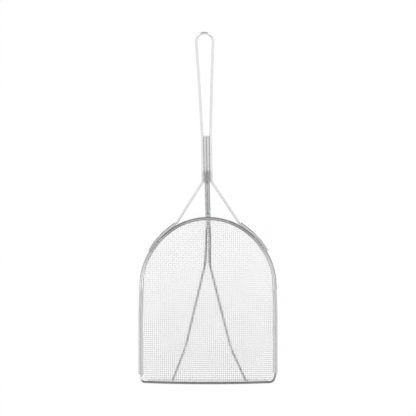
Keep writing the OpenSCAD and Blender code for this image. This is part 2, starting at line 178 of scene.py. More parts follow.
# ---------------------------------------------------------------- the shape of the rim and the net
def bar_y(x):
    """Centre line of the front bar."""
    return RIM_R + BOW_R - np.sqrt(BOW_R ** 2 - x ** 2)


def net_z(x, y):
    """Height of the net's middle surface."""
    t = np.maximum(0, (y - RIM_R) / RAMP_LEN)
    knee = t - (t - 1 + RAMP_SOFT) ** 2 / (4 * RAMP_SOFT)
    ramp = np.where(t <= 1 - RAMP_SOFT, t, np.where(t >= 1 + RAMP_SOFT, 1, knee))
    fall = 1 - (1 - np.clip(from_rim(x, y), 0, SLOPE_W) / SLOPE_W) ** 2
    return RIM_Z - DISH_DEPTH * fall * ramp


def net_normal(x, y):
    d = 0.05 * MM
    gx = (net_z(x + d, y) - net_z(x - d, y)) / (2 * d)
    gy = (net_z(x, y + d) - net_z(x, y - d)) / (2 * d)
    n = np.stack([-gx, -gy, np.ones_like(gx)], -1)
    return n / np.linalg.norm(n, axis=-1, keepdims=True)


def top_y(x, e):
    """Outline of the arch in plan, at a distance e inside the rim's centre line."""
    ax, r = abs(x), ARCH_R - e
    if ax <= r / math.sqrt(2):
        return ARCH_Y + math.sqrt(r * r - ax * ax)
    if ax <= SIDE_X + r / math.sqrt(2):
        return ARCH_Y + r * math.sqrt(2) - ax
    return SIDE_Y + math.sqrt(max(0, r * r - (ax - SIDE_X) ** 2))


def side_at(y, e):
    """Half width of the outline in plan, at a distance e inside the rim's centre line."""
    r = ARCH_R - e
    if y <= TURN_Y:
        return HALF_W - e - CORNER_IN * (TURN_Y - y) / (TURN_Y - CORNER_Y)
    if y <= LEAN_Y:
        return HALF_W - e
    if y <= SIDE_Y:
        return HALF_W - (y - LEAN_Y) * LEAN - e
    if y <= SIDE_Y + r / math.sqrt(2):
        return SIDE_X + math.sqrt(r * r - (y - SIDE_Y) ** 2)
    if y <= ARCH_Y + r / math.sqrt(2):
        return ARCH_Y + r * math.sqrt(2) - y
    return math.sqrt(max(0, r * r - (y - ARCH_Y) ** 2))


def front_y(x):
    """Centre line of the rim's front, with its rounded corners."""
    past = max(0.0, abs(x) - (CORNER_X - CORNER_R))
    return float(bar_y(x)) + CORNER_R - math.sqrt(max(0.0, CORNER_R ** 2 - min(past, CORNER_R) ** 2))


def on_handle(x, s):
    return [x, KINK_Y + s * math.cos(RISE), FOOT_Z + s * math.sin(RISE)]


# ---------------------------------------------------------------- paths
def rounded(corners, bends, step=1.5 * MM):
    """Points along a line through corners whose bends have the given radii."""
    turn = math.radians(3)
    c = np.array(corners, float)
    out = [c[0]]
    for i in range(1, len(c) - 1):
        u = (c[i] - c[i - 1]) / np.linalg.norm(c[i] - c[i - 1])
        v = (c[i + 1] - c[i]) / np.linalg.norm(c[i + 1] - c[i])
        angle = math.acos(max(-1.0, min(1.0, float(u @ v))))
        if angle < 1e-6:
            out.append(c[i])
            continue
        reach = bends[i] * math.tan(angle / 2)
        n = v - u * (u @ v)
        n /= np.linalg.norm(n)
        middle = c[i] - u * reach + n * bends[i]
        count = max(2, math.ceil(angle / turn), math.ceil(angle * bends[i] / (2 * step)))
        for k in range(count + 1):
            t = angle * k / count
            out.append(middle - n * bends[i] * math.cos(t) + u * bends[i] * math.sin(t))
    out.append(c[-1])
    return even(np.array(out), step)


def even(points, step):
    """The same line with no two points further apart than a step."""
    out = [points[0]]
    for a, b in zip(points[:-1], points[1:]):
        gap = np.linalg.norm(b - a)
        if gap < 1e-7:
            continue
        n = max(1, math.ceil(gap / step))
        out.extend(a + (b - a) * k / n for k in range(1, n + 1))
    return np.array(out)


def lengths(points):
    return np.concatenate([[0], np.cumsum(np.linalg.norm(np.diff(points, axis=0), axis=1))])


# ---------------------------------------------------------------- meshes
def new_object(name, data):
    made = bpy.data.objects.new(name, data)
    bpy.context.scene.collection.objects.link(made)
    return made


class Soup:
    """Collects swept surfaces into one mesh, with a map that runs along and around each."""

    def __init__(self):
        self.points, self.faces, self.maps, self.count = [], [], [], 0

    def add(self, points, faces, maps):
        self.points.append(np.asarray(points, float))
        self.faces.extend((np.asarray(f) + self.count) for f in faces)
        self.maps.extend(np.asarray(m, float) for m in maps)
        self.count += len(points)

    def grid(self, rows, u, v, loop=False):
        """rows is an array of rings; u runs along them and v around them."""
        n, m = rows.shape[:2]
        a, b = np.meshgrid(np.arange(n if loop else n - 1), np.arange(m), indexing="ij")
        a, b = a.ravel(), b.ravel()
        a2, b2 = (a + 1) % n, (b + 1) % m
        quads = np.stack([a * m + b, a * m + b2, a2 * m + b2, a2 * m + b], -1)
        ua, ub = u[a], u[a + 1]
        va, vb = v[b], v[b + 1]
        maps = np.stack([np.stack([ua, va], -1), np.stack([ua, vb], -1),
                         np.stack([ub, vb], -1), np.stack([ub, va], -1)], 1)
        self.add(rows.reshape(-1, 3), [quads], [maps])

    def cap(self, ring, flip):
        """One face across a ring."""
        n = len(ring)
        order = np.arange(n)[::-1] if flip else np.arange(n)
        t = 2 * math.pi * order / n
        maps = np.stack([np.cos(t), np.sin(t)], -1) * MM
        self.add(ring, [order[None, :]], [maps[None]])

    def object(self, name):
        co = np.concatenate(self.points)
        co[:, 1] += SHIFT_Y
        sizes = np.concatenate([np.full(len(f), f.shape[1]) for f in self.faces])
        corners = np.concatenate([f.ravel() for f in self.faces])
        uv = np.concatenate([m.reshape(-1, 2) for m in self.maps])
        mesh = bpy.data.meshes.new(name)
        mesh.vertices.add(len(co))
        mesh.vertices.foreach_set("co", co.astype(np.float32).ravel())
        mesh.loops.add(len(corners))
        mesh.loops.foreach_set("vertex_index", corners.astype(np.int32))
        mesh.polygons.add(len(sizes))
        mesh.polygons.foreach_set("loop_start", np.concatenate([[0], np.cumsum(sizes)[:-1]]).astype(np.int32))
        mesh.polygons.foreach_set("use_smooth", np.full(len(sizes), True))
        layer = mesh.uv_layers.new(name="along")
        layer.data.foreach_set("uv", uv.astype(np.float32).ravel())
        mesh.update(calc_edges=True)
        mesh.validate()
        return new_object(name, mesh)


def rings(points, radius, sides, ref, loop=False):
    """Rings of a round wire along points; ref is a direction that the wire never runs along."""
    if loop:
        t = np.roll(points, -1, 0) - np.roll(points, 1, 0)
    else:
        t = np.gradient(points, axis=0)
    t /= np.linalg.norm(t, axis=1, keepdims=True)
    ref = np.broadcast_to(np.asarray(ref, float), points.shape)
    a = ref - (ref * t).sum(1, keepdims=True) * t
    a /= np.linalg.norm(a, axis=1, keepdims=True)
    b = np.cross(t, a)
    angle = 2 * math.pi * np.arange(sides) / sides
    r = np.broadcast_to(np.asarray(radius, float), len(points))[:, None, None]
    ring = a[:, None] * np.cos(angle)[None, :, None] + b[:, None] * np.sin(angle)[None, :, None]
    return points[:, None] + ring * r


def wire(soup, points, radius, ref, sides, loop=False, burr=0.22 * MM):
    """A round wire; its cut ends have a small worn edge."""
    if not loop:
        points = np.array(points)
        s = lengths(points)
        ins = [burr * 0.45, burr]
        head = [points[0] + (points[1] - points[0]) / (s[1] - s[0]) * d for d in ins]
        tail = [points[-1] + (points[-2] - points[-1]) / (s[-1] - s[-2]) * d for d in reversed(ins)]
        keep = points[(s > 1.4 * burr) & (s < s[-1] - 1.4 * burr)]
        points = np.concatenate([points[:1], head, keep, tail, points[-1:]])
    r = np.full(len(points), float(radius))
    if not loop:
        r[0] = r[-1] = radius - burr
        r[1] = r[-2] = radius - burr * 0.28
    rows = rings(points, r, sides, ref, loop)
    s = lengths(np.concatenate([points, points[:1]]) if loop else points)
    soup.grid(rows, s, np.linspace(0, 1, sides + 1), loop=loop)
    if not loop:
        soup.cap(rows[0], True)
        soup.cap(rows[-1], False)


def noise1(s, wave, seed):
    """Smooth random numbers from -1 to 1 along a length."""
    rng = np.random.default_rng(seed)
    knots = rng.uniform(-1, 1, int(s.max() / wave) + 3)
    t = s / wave
    i = np.floor(t).astype(int)
    f = t - i
    f = f * f * (3 - 2 * f)
    return knots[i] * (1 - f) + knots[i + 1] * f


X_AXIS, Y_AXIS = np.eye(3)[:2]


# ---------------------------------------------------------------- materials
class Nodes:
    """A short way to write a material's nodes."""

    def __init__(self, name):
        self.material = bpy.data.materials.new(name)
        self.material.use_nodes = True
        self.tree = self.material.node_tree
        self.shader = self.tree.nodes["Principled BSDF"]

    def node(self, kind, **values):
        """A node with these values of its inputs and its own settings."""
        made = self.tree.nodes.new(kind)
        for key, value in values.items():
            if key in made.inputs:
                made.inputs[key].default_value = value
            else:
                setattr(made, key, value)
        return made

    def link(self, a, b):
        self.tree.links.new(a, b)

    def noise(self, vector, scale, detail):
        made = self.node("ShaderNodeTexNoise", Scale=scale, Detail=detail, Roughness=0.55)
        self.link(vector, made.inputs["Vector"])
        return made.outputs["Fac"]

    def scaled(self, vector, x, y, z):
        made = self.node("ShaderNodeMapping", Scale=(x, y, z))
        self.link(vector, made.inputs["Vector"])
        return made.outputs["Vector"]

    def ramp(self, value, stops):
        made = self.node("ShaderNodeValToRGB")
        e = made.color_ramp.elements
        while len(e) < len(stops):
            e.new(0.5)
        for k, (at, colour) in enumerate(stops):
            e[k].position = at
            e[k].color = (*colour, 1)
        self.link(value, made.inputs["Fac"])
        return made.outputs["Color"]

    def spread(self, value, low, high, out_low, out_high):
        """A value mapped from one span to another and held inside it."""
        made = self.node("ShaderNodeMapRange")
        for key, v in zip(("From Min", "From Max", "To Min", "To Max"), (low, high, out_low, out_high)):
            made.inputs[key].default_value = v
        self.link(value, made.inputs["Value"])
        return made.outputs["Result"]

    def mix(self, fac, a, b):
        made = self.node("ShaderNodeMix", data_type="RGBA")
        self.link(fac, made.inputs[0])
        for value, socket in ((a, made.inputs[6]), (b, made.inputs[7])):
            if isinstance(value, tuple):
                socket.default_value = (*value, 1)
            else:
                self.link(value, socket)
        return made.outputs[2]

    def math(self, op, a, b):
        made = self.node("ShaderNodeMath", operation=op)
        for value, socket in ((a, made.inputs[0]), (b, made.inputs[1])):
            if isinstance(value, (int, float)):
                socket.default_value = value
            else:
                self.link(value, socket)
        return made.outputs[0]

    def bump(self, height, strength, distance, under=None):
        made = self.node("ShaderNodeBump", Strength=strength, Distance=distance)
        self.link(height, made.inputs["Height"])
        if under is not None:
            self.link(under, made.inputs["Normal"])
        return made.outputs["Normal"]


def steel(name, light, dark, rough, streak=1.0, marked=None, metal=1.0):
    """Drawn or rolled stainless steel: die lines along the piece, faint stains, small dents.
    light and dark are its two tones, rough is the span of its roughness, streak is how deep its
    lines are, and marked is a third colour that the attribute "mark" mixes in."""
    usual_low, usual_high = 0.3, 0.7        # the span that most of a noise's values lie in
    m = Nodes(name)
    m.shader.inputs["Metallic"].default_value = metal
    along = m.node("ShaderNodeUVMap", uv_map="along").outputs["UV"]
    place = m.node("ShaderNodeTexCoord").outputs["Object"]
    lines = m.noise(m.scaled(along, 60, 14, 1), scale=3.0, detail=4.0)
    fine = m.noise(m.scaled(along, 400, 60, 1), scale=2.0, detail=2.0)
    stain = m.noise(place, scale=70.0, detail=4.0)
    grain = m.noise(place, scale=1500.0, detail=2.0)
    tone = m.math("ADD", m.math("MULTIPLY", lines, 0.6), m.math("MULTIPLY", stain, 0.4))
    bright = tuple(min(1, c * 1.05) for c in light)
    colour = m.ramp(tone, [(0.36, dark), (0.50, light), (0.66, bright)])
    worn = m.math("ADD", m.math("MULTIPLY", stain, 0.5), m.math("MULTIPLY", fine, 0.5))
    roughness = m.spread(worn, usual_low, usual_high, *rough)
    # The mark mixes in weld dullness and also painted shade, painted dark reflections and a painted
    # highlight, as each piece's marks say
    if marked is not None:
        mark = m.node("ShaderNodeAttribute", attribute_name="mark").outputs["Fac"]
        patchy = m.math("MULTIPLY", mark, m.spread(stain, usual_low, usual_high, 0.8, 1.2))
        colour = m.mix(m.spread(patchy, 0.0, 1.0, 0.0, 1.0), colour, marked)
        roughness = m.math("ADD", roughness, m.math("MULTIPLY", mark, 0.12))
    m.link(colour, m.shader.inputs["Base Color"])
    m.link(roughness, m.shader.inputs["Roughness"])
    low = m.bump(lines, 0.25 * streak, 0.08 * MM)
    low = m.bump(fine, 0.20 * streak, 0.02 * MM, low)
    m.link(m.bump(grain, 0.15, 0.02 * MM, low), m.shader.inputs["Normal"])
    return m.material


def grey(value, cool=0.0):
    """A grey, with a little more blue where cool says so."""
    return (value, value, value + cool)


def finish_piece(piece, material, slot, *nodes, mark=None):
    """Give a piece its material, body and the nodes it stands for; slot is not used. mark is a function of
    its points and of how far up they face: how much of the marked colour each one has."""
    piece.data.materials.append(material)
    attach(piece, "root")
    if nodes:
        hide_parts(*nodes)
    if mark is not None:
        co = np.empty(len(piece.data.vertices) * 3, np.float32)
        normal = np.empty_like(co)
        piece.data.vertices.foreach_get("co", co)
        piece.data.vertices.foreach_get("normal", normal)
        layer = piece.data.attributes.new("mark", "FLOAT", "POINT")
        layer.data.foreach_set("value", mark(co.reshape(-1, 3), normal[2::3]).astype(np.float32))


# ---------------------------------------------------------------- marks
# Where the metal is dulled by a weld, and where shade, dark reflections and a highlight are painted on it,
# such as the painted dark lines along edges. The left (-1) and the right (1) differ a little in the photo,
# and so do these values.
TOP_FROM, TOP_FADE = 0.80, 0.15
FOOT_WELDS = [FOOT_A0 + math.radians(2 + 3.3 * k) for k in range(4)]
WELD_DULL, FOOT_TOP_SHADE, FOOT_TOP_SHADE_SPAN = 0.5, {-1: 0.8, 1: 0.95}, math.radians(14)
BAND_SHADE_A, BAND_SHADE_CORE = {-1: math.radians(59), 1: math.radians(57)}, {-1: 7, 1: 10}
BAND_SHADE, BAND_SHADE_FADE, BAND_TOP_SHADE, BAND_SIDE_DARK = 0.52, 13, 0.235, 0.40
EDGE_DARK, EDGE_OUT, EDGE_UP = {-1: 0.5, 1: 1}, 1.6 * MM, 1.3 * MM
GROOVE_OUT, GROOVE_UP = 1.35 * MM, 1.7 * MM
KINK_OUT, KINK_UP = 1.25 * MM, 0.7 * MM
FLAT_SHADE, FLAT_FADE = {-1: 0.62, 1: 0.75}, {-1: 0.1, 1: 0.3}
UNDER_SHADE, UNDER_SHADE_Y, UNDER_SHADE_FADE = 0.165, TOE_Y + 15 * MM, 30 * MM
CREST_X, CREST_DARK = 0.25 * MM, 0.4
MESH_BRIGHT_Y, MESH_DULL_Y = 168 * MM, 30 * MM


def spot(side, place, core, reach, strength=1.0, on_top=False):
    """A mark on one side of the part: where it is, how far out it is full and how far out it
    ends, both in mm, its strength, and whether only what faces up has it."""
    x, y, z = place
    return np.array([side * x, y + SHIFT_Y, z]), core * MM, reach * MM, strength, on_top


def mark_near(marks):
    """A function for finish_piece that has the strongest of these marks at each point."""
    def mark(co, up):
        top = np.clip((up - TOP_FROM) / TOP_FADE, 0, 1)
        found = np.zeros(len(co))
        for centre, core, reach, strength, on_top in marks:
            near = np.linalg.norm(co - centre, axis=1)
            fall = strength * np.clip((reach - near) / (reach - core), 0, 1)
            found = np.maximum(found, fall * top if on_top else fall)
        return found
    return mark


def mark_under(co, up):
    """The under wires have a little painted shade all along, but for their front part."""
    behind = np.clip((co[:, 1] - SHIFT_Y - UNDER_SHADE_Y) / UNDER_SHADE_FADE, 0, 1)
    return np.maximum(mark_near(UNDER_MARKS)(co, up), UNDER_SHADE * behind)


def mark_front(co, up):
    """The mesh is a little duller towards the front."""
    return np.clip((MESH_BRIGHT_Y + SHIFT_Y - co[:, 1]) / (MESH_BRIGHT_Y - MESH_DULL_Y), 0, 1)


def foot_point(t, side, out=0.0):
    """A point of the foot's centre line; the right foot lies further out at its end."""
    r = FOOT_R + out
    if side > 0:
        r += FOOT_SLACK * max(0, (FOOT_A1 - t) / (FOOT_A1 - FOOT_A0))
    return np.array([r * math.cos(t), FOOT_Y + r * math.sin(t), FOOT_Z])


def arch_point(t, out=0.0, up=0.0):
    """A point beside the band's centre line on the arch."""
    r = ARCH_R + out
    return np.array([r * math.cos(t), ARCH_Y + r * math.sin(t), RIM_Z + up])


def toe_and_tip(side):
    """Where an under wire bends up the ramp and where it ends, mirrored to the right."""
    toe = [TOE_X - side * TOE_SLACK[side], TOE_Y, WIRE_R]
    return toe, [TIP_X + side * TIP_SLACK[side], TIP_Y, TIP_Z]


def foot_marks(side):
    """A foot is dull round its welds, and has painted shade on its top there, strongest at the band. A
    painted dark reflection runs along its outer edge both sides of the kink."""
    marks = [spot(side, foot_point(t, side), core=1, reach=6, strength=WELD_DULL) for t in FOOT_WELDS]
    # Painted shade on the foot's top beside its welds
    for k in np.linspace(0, 1, 6):
        top = foot_point(FOOT_A0 + FOOT_TOP_SHADE_SPAN * k, side) + np.array([0, 0, WIRE_R])
        top_shade = FOOT_TOP_SHADE[side] * (1 - k) + WELD_DULL * k
        marks.append(spot(side, top, core=3, reach=6, strength=top_shade, on_top=True))
    # Painted dark reflection along the outer edge, both sides of the kink
    for k in np.arange(-8, 11, 1.2):
        a = FOOT_A1 + min(0, k) * MM / FOOT_R
        ahead = max(0, k) * MM * np.array([-math.sin(a), math.cos(a), 0])
        edge = foot_point(a, side, KINK_OUT) + ahead + np.array([0, 0, KINK_UP])
        marks.append(spot(side, edge, core=0.5, reach=1.4))
    return marks


def band_marks(side):
    """The band is dull round the foot's welds. It has painted shade on the arch beyond them and is darker
    along the side. A painted dark reflection runs along its outer edge on the flank, and painted shade along
    its top in the groove beside the foot."""
    marks = [spot(side, foot_point(t, side), core=1, reach=4.5, strength=WELD_DULL) for t in FOOT_WELDS]
    # Painted shade on the arch beside the foot's end
    core, darkest = BAND_SHADE_CORE[side], arch_point(BAND_SHADE_A[side])
    marks.append(spot(side, darkest, core, reach=core + BAND_SHADE_FADE, strength=BAND_SHADE))
    for y in np.arange(BAND_END, LEAN_Y + 20 * MM, 10 * MM):
        marks.append(spot(side, [HALF_W, y, RIM_Z], core=8, reach=14, strength=BAND_SIDE_DARK))
    # Painted dark reflection along the outer edge on the flank
    for y in np.arange(ARCH_Y - 8 * MM, ARCH_Y + 34 * MM, 1 * MM):
        edge = [side_at(y, -EDGE_OUT), y, RIM_Z + EDGE_UP]
        marks.append(spot(side, edge, core=0.5, reach=1.4, strength=EDGE_DARK[side]))
    # Painted shade in the groove between the band and the foot
    for t in np.radians(np.arange(44, 70, 1.2)):
        marks.append(spot(side, arch_point(t, GROOVE_OUT, GROOVE_UP), core=0.5, reach=1.6))
    return marks


def under_marks(side):
    """An under wire has painted shade on its top where the two run side by side, less on the flat of the net
    after they part, and is dull at its end. It has a painted dark reflection along its crest above the band."""
    marks = [spot(side, toe_and_tip(side)[1], core=0, reach=3, strength=0.9)]
    # Painted shade on the tops of the two wires side by side
    for y in np.arange(SPLIT_Y + 3 * MM, HEEL_Y + 2 * MM, 4 * MM):
        marks.append(spot(side, [INNER_X, y, WIRE_R], core=5, reach=9, on_top=True))
        # The right wire also has painted shade on its outer flank
        if side > 0:
            flank = [INNER_X + 1 * MM, y, WIRE_R + 1 * MM]
            marks.append(spot(side, flank, core=2, reach=3, strength=0.7))
    # Painted shade on the tops on the flat of the net
    for k in np.linspace(0, 0.85, 12):
        flat = [SPLIT_X + (TOE_X - SPLIT_X) * k, SPLIT_Y + (TOE_Y - SPLIT_Y) * k, WIRE_R]
        top_shade = FLAT_SHADE[side] - FLAT_FADE[side] * k
        marks.append(spot(side, flat, core=7, reach=14, strength=top_shade, on_top=True))
    rear, low = np.array([INNER_X, REAR_Y, REAR_Z]), np.array(on_handle(INNER_X, BUNDLE_LOW))
    crest = np.array([CREST_X, -WIRE_R * math.sin(RISE), WIRE_R * math.cos(RISE)])
    # Painted dark reflection along the crest above the band
    for k in np.arange(0.26, 1, 0.02):
        place = rear + (low - rear) * k + crest
        marks.append(spot(side, place, core=0.6, reach=1.5, strength=CREST_DARK))
    return marks


def bundle_marks():
    """All four wires are dull round the weld at the foot of the bundle."""
    places = [on_handle(0, BUNDLE_LOW + 1 * MM + WELD_LEN * k / 5) for k in range(5)]
    return [spot(1, place, core=0, reach=7, strength=0.9) for place in places]


def band_middle_marks():
    """The band has a little painted shade at the top of the arch, and all along the right flank."""
    marks = [spot(1, [0, APEX_Y, RIM_Z], core=22, reach=36, strength=BAND_TOP_SHADE)]
    for t in np.radians(np.arange(0, 40, 4)):
        marks.append(spot(1, arch_point(t), core=6, reach=10, strength=BAND_TOP_SHADE))
    return marks


HANDLE_MARKS = foot_marks(-1) + foot_marks(1) + bundle_marks()
BAND_MARKS = band_marks(-1) + band_marks(1) + band_middle_marks()
UNDER_MARKS = under_marks(-1) + under_marks(1) + bundle_marks()

# A highlight is painted on the rim wire at its left front corner
RIM_MARKS = [spot(-1, [CORNER_X + 0.6 * MM, y * MM, RIM_Z], core=1.5, reach=3.5) for y in (6.5, 8, 9.5)]


# ---------------------------------------------------------------- wires
HANDLE_UP = (0, -math.sin(RISE), math.cos(RISE))


def handle():
    turn, middle = (FOOT_A1 - FOOT_A0) / 2, (FOOT_A0 + FOOT_A1) / 2
    corner = FOOT_R / math.cos(turn) - FOOT_R
    half = [
        [KINK_X, KINK_Y, FOOT_Z],
        on_handle(LEG_X, BUNDLE_LOW),
        on_handle(LEG_X, BUNDLE_HIGH + 3 * MM),
        on_handle(SPREAD_X, SPREAD_S),
        on_handle(LOOP_A, FLANK_S),
    ]
    bends = [0, FOOT_R, KINK_BEND, BUNDLE_BEND, STEM_BEND, SPREAD_BEND, FLANK_R * FLANK_SHARE]
    halves = [[foot_point(FOOT_A0, k), foot_point(middle, k, corner)] + half for k in (1, -1)]
    flipped = [[-p[0], p[1], p[2]] for p in reversed(halves[1])]
    path = rounded(halves[0] + [on_handle(0, TIP_V_S)] + flipped, bends + [TIP_R] + bends[::-1])
    soup = Soup()
    wire(soup, path, WIRE_R, HANDLE_UP, sides=28)
    return soup.object("handle")


def under_wire(side):
    corners = [
        on_handle(INNER_X, BUNDLE_HIGH - TOP_SLACK),
        on_handle(INNER_X, BUNDLE_LOW),
        [INNER_X, REAR_Y, REAR_Z],
        [INNER_X - side * HEEL_SLACK, HEEL_Y, WIRE_R],
        [SPLIT_X - side * SPLIT_SLACK[side], SPLIT_Y, WIRE_R],
        *toe_and_tip(side),
    ]
    path = rounded(corners, [0, LOW_BEND, REAR_BEND, HEEL_BEND, SPLIT_BEND, TOE_BEND, 0])
    soup = Soup()
    wire(soup, path * np.array([side, 1, 1]), WIRE_R, (1, 0, 0), sides=28)
    return soup.object("under_wire_right" if side > 0 else "under_wire_left")


BAND_PATH = [
    [HALF_W, BAND_END, RIM_Z],
    [HALF_W, LEAN_Y, RIM_Z],
    [SIDE_V_X, SIDE_V_Y, RIM_Z],
    [0, ARCH_V, RIM_Z],
    [-SIDE_V_X, SIDE_V_Y, RIM_Z],
    [-HALF_W, LEAN_Y, RIM_Z],
    [-HALF_W, BAND_END, RIM_Z],
]
LEAN_BEND = 300 * MM
BAND_BENDS = [0, LEAN_BEND, ARCH_R, ARCH_R, ARCH_R, LEAN_BEND, 0]


def rim_wire():
    """The closed wire round the net. Its start is on the straight part of the right side."""
    start = [HALF_W, LEAN_Y - 30 * MM, RIM_Z]
    left, right = HALF_W - SEEN_IN[-1], HALF_W - SEEN_IN[1]
    low = [
        [-HALF_W, TURN_Y, RIM_Z],
        [-left, BOW_V + BOW_M * left, RIM_Z],
        [0, BOW_V, RIM_Z],
        [right, BOW_V + BOW_M * right, RIM_Z],
        [HALF_W, TURN_Y, RIM_Z],
    ]
    corners = [start] + BAND_PATH[1:6] + low + [start]
    bends = [0] + BAND_BENDS[1:6] + [TURN_R, SEEN_R[-1], BOW_R, SEEN_R[1], TURN_R, 0]
    path = rounded(corners, bends)[:-1]
    soup = Soup()
    wire(soup, path, RIM_R, (0, 0, 1), sides=24, loop=True)
    return soup.object("rim_wire")


def rim_band():
    """Strip rolled round the rim wire, open towards the net. The free lip is pressed on to
    the mesh, so that it bears the mesh's marks, the inside of the arch is pressed narrower, and
    the ends are cut by hand, the left one askew."""
    path = rounded(BAND_PATH, BAND_BENDS, step=0.55 * MM)
    t = np.gradient(path, axis=0)
    t /= np.linalg.norm(t, axis=1, keepdims=True)
    out = np.cross(t, (0, 0, 1))
    s = lengths(path)

    # Where the strip's two edges lie round the wire, in degrees, and how uneven they are
    lip_a, lip_b = 188.0, 256.0
    uneven = 3.0 * noise1(s, 5 * MM, 5) + 2.0 * noise1(s, 1.6 * MM, 6)
    press = 1.5 * np.cos(2 * math.pi * s / WEFT_PITCH) + uneven
    top_lip = np.radians(360 + lip_a + press)
    low_lip = np.radians(lip_b + 3.0 * noise1(s, 9 * MM, 7))
    outer, inner = 34, 22
    f = np.linspace(0, 1, outer)
    g = np.linspace(1, 0, inner)
    angle_out = low_lip[:, None] + (top_lip - low_lip)[:, None] * f
    angle_in = low_lip[:, None] + (top_lip - low_lip)[:, None] * g

    # The radius: dented, embossed by the mesh towards the lip, and rounded at both edges
    dent = 1 + 0.012 * noise1(s, 14 * MM, 8)[:, None]
    inward = np.clip((np.degrees(angle_out) - 455) / 90, 0, 1)
    emboss = 0.05 * MM * inward * np.cos(2 * math.pi * s / WARP_PITCH)[:, None]
    edge, round_out, round_in = 0.02, 0.12 * MM, 0.1 * MM
    r_out = BAND_R * dent + emboss - round_out * (f < edge) - round_out * (f > 1 - edge)
    r_in = np.full_like(angle_in, BAND_R - BAND_WALL) + round_in * (g > 1 - edge) + round_in * (g < edge)
    a = np.concatenate([angle_out, angle_in], 1)
    r = np.concatenate([r_out, r_in], 1)
    x, z = r * np.cos(a), r * np.sin(a)

    # The inner half is narrower by a share, from an angle of the arch on
    share, start, fade = 0.22, 33, 9
    arch = np.degrees(np.arctan2(path[:, 1] - ARCH_Y, np.abs(path[:, 0])))
    tight = 1 - share * np.clip((arch - start) / fade, 0, 1)
    x = np.where(x < 0, x * tight[:, None], x)

    # Both ends are cut at a slant, and the left one is longer; each cut fades out along the band
    slant_left, slant_right, longer, fade_left, fade_right = -0.75, 0.10, 2.8 * MM, 6 * MM, 4 * MM
    end_left = np.clip(1 - (s[-1] - s) / fade_left, 0, 1)
    end_right = np.clip(1 - s / fade_right, 0, 1)
    slide = end_left[:, None] * (slant_left * x + longer) - end_right[:, None] * (slant_right * x)
    rows = path[:, None] + out[:, None] * x[..., None] + np.array([0, 0, 1]) * z[..., None]
    rows = rows + t[:, None] * slide[..., None]
    rows = rows[:, ::-1]
    soup = Soup()
    m = rows.shape[1]
    soup.grid(rows, s, np.linspace(0, 1, m + 1))
    for ring, flip in ((rows[0], True), (rows[-1], False)):
        quads = np.array([[k, k + 1, m - 2 - k, m - 1 - k] for k in range(inner - 1)])
        quads = quads[:, ::-1] if flip else quads
        flat = np.stack([np.arange(m) / m * 0.01, np.zeros(m)], -1)
        soup.add(ring, [quads], [flat[quads]])
    return soup.object("rim_band")


# ---------------------------------------------------------------- woven mesh
def wave(place, long, phase):
    """A sine wave along a line; long is its length in mm for each radian."""
    return np.sin(place / (long * MM) + phase)


def strayed(x, y):
    """The weave is not quite even: its wires stray a little, less so near the front bar."""
    even_to, fade_over = 10 * MM, 15 * MM
    fade = SLACK_WEAVE * np.clip((y - even_to) / fade_over, 0, 1)
    dx = wave(x, 7.3, 1.1) * wave(y, 5.9, 0.4) + wave(x + y, 11, 2.0)
    dy = wave(x, 6.1, 2.7) * wave(y, 8.3, 1.9) + wave(x - y, 12, 0.7)
    return x + fade * dx, y + fade * dy


def woven(x, y, lift):
    """Points of a mesh wire: on the net's surface, and lifted off it by the weave."""
    x, y = strayed(x, y)
    base = np.stack([x, y, net_z(x, y)], -1)
    return base + net_normal(x, y) * lift[:, None]


# A warp lies i and a half pitches from the middle, and a weft j pitches behind the first one.
# Their numbers go as far as they still end in the band.
LAST_X, LAST_Y, WEFT_0 = HALF_W - 1.5 * MM, APEX_Y - 1.6 * MM, 5.2 * MM
WARPS = np.arange(math.ceil(-LAST_X / WARP_PITCH - 0.5), math.floor(LAST_X / WARP_PITCH - 0.5) + 1)
WEFTS = np.arange(0, math.floor((LAST_Y - WEFT_0) / WEFT_PITCH) + 1)

# At the bare corners they end just inside the rim wire, and the front wefts shorter still. The
# hook round the front bar and the layer behind it leave the corners free.
WARP_BARE_END, WEFT_BARE_END = RIM_R + 0.35 * MM, RIM_R + 0.25 * MM
CORNER_ROWS, CORNER_CUT = 2 * MM, 2.2 * MM
HOOK_X = CORNER_X - CORNER_R
HEM_MID = RIM_R + MESH_R + WEAVE + 0.02 * MM


def warp_lift(y, i):
    """How far warp i is lifted at each y; a weft is lifted the other way."""
    return WEAVE * np.cos(math.pi * ((y - WEFT_0) / WEFT_PITCH + i))


def weft_lift(x, j):
    return -WEAVE * np.cos(math.pi * ((x / WARP_PITCH - 0.5) + j))


def mesh_wire(soup, line, ref):
    wire(soup, line, MESH_R, ref, sides=6, burr=0.06 * MM)


def weft_places(b):
    """Places along a weft from -b to b, four to a warp."""
    return np.linspace(-b, b, round(2 * b / (WARP_PITCH / 4)))


def hem_path():
    """Section of the mesh from its cut edge in front of the bar, round below the bar and up to
    the ramp. The bar's centre line is at the origin."""
    ramp = np.array([math.cos(RAMP_A), -math.sin(RAMP_A)])
    turn_in = np.radians(250)
    ramp_end, bar_end = ramp * 3.6 * MM, HEM_MID * np.array([-math.cos(turn_in), math.sin(turn_in)])
    ramp_pull = ramp_end - ramp * 1.2 * MM
    bar_pull = bar_end - np.array([math.sin(turn_in), math.cos(turn_in)]) * 0.9 * MM
    k = np.linspace(0, 1, 9)[:, None]
    joined = ramp_end * (1 - k) ** 3 + 3 * ramp_pull * k * (1 - k) ** 2
    joined = joined + 3 * bar_pull * k * k * (1 - k) + bar_end * k ** 3
    t = np.radians(np.arange(258, 342, 8))
    arc = HEM_MID * np.stack([-np.cos(t), np.sin(t)], -1)
    section = np.concatenate([joined, arc])[::-1]
    return np.concatenate([np.zeros((len(section), 1)), section], 1)


